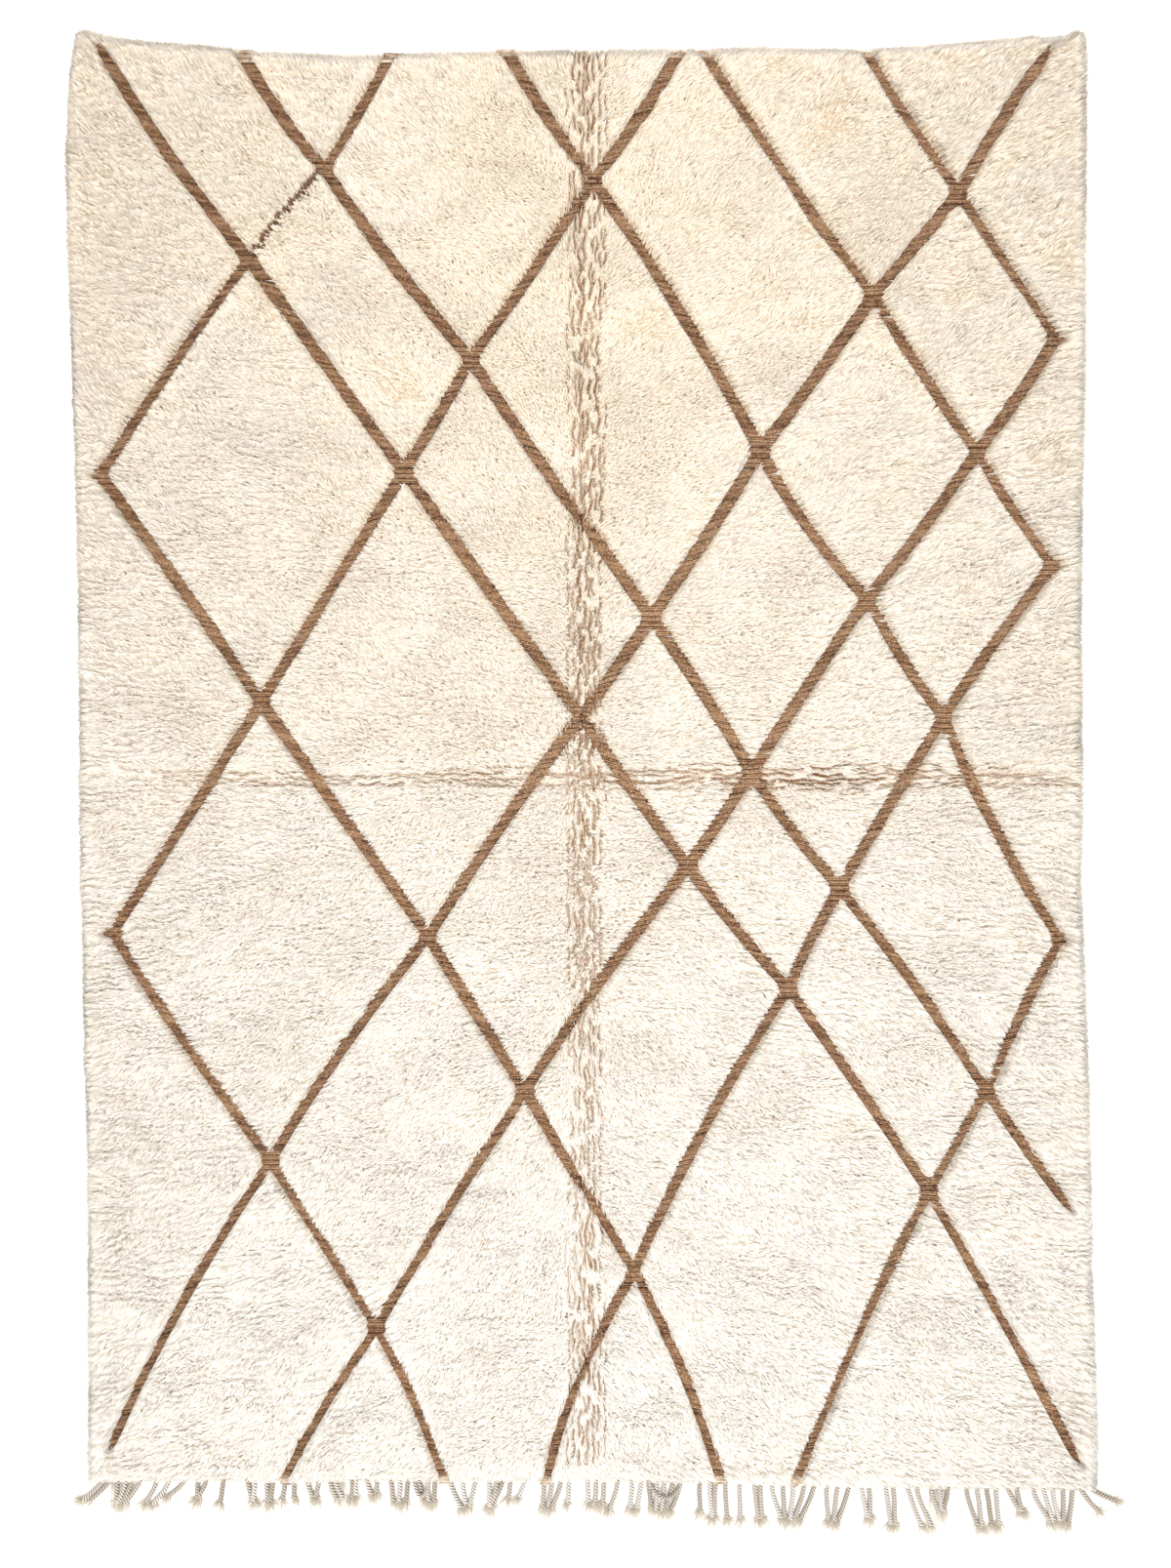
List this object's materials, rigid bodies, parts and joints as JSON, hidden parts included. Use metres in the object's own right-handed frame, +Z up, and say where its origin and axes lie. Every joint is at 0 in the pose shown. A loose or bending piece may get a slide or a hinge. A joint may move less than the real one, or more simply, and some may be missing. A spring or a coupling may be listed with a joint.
{
  "type": "beni ourain shag rug",
  "caption": "Rectangular hand-knotted shag rug with a sunk diamond lattice of low brown lines and a plied warp fringe at one end, lying flat.",
  "frame": {"origin": "under the middle of the rug, on the floor it lies on", "axes": "+Z up, +X across the rug, +Y along the rug away from the fringe"},
  "size_m": [1.7506, 2.4975, 0.03],
  "materials": {
    "white_wool": "undyed cream wool shag",
    "plied_warp": "plied undyed wool cord",
    "brown_wool": "natural brown wool rows, clipped short",
    "woven_ground": "plain woven wool ground"
  },
  "bodies": {
    "root": {"shag_rug": "white_wool", "warp_fringe": "plied_warp"}
  },
  "joints": []
}
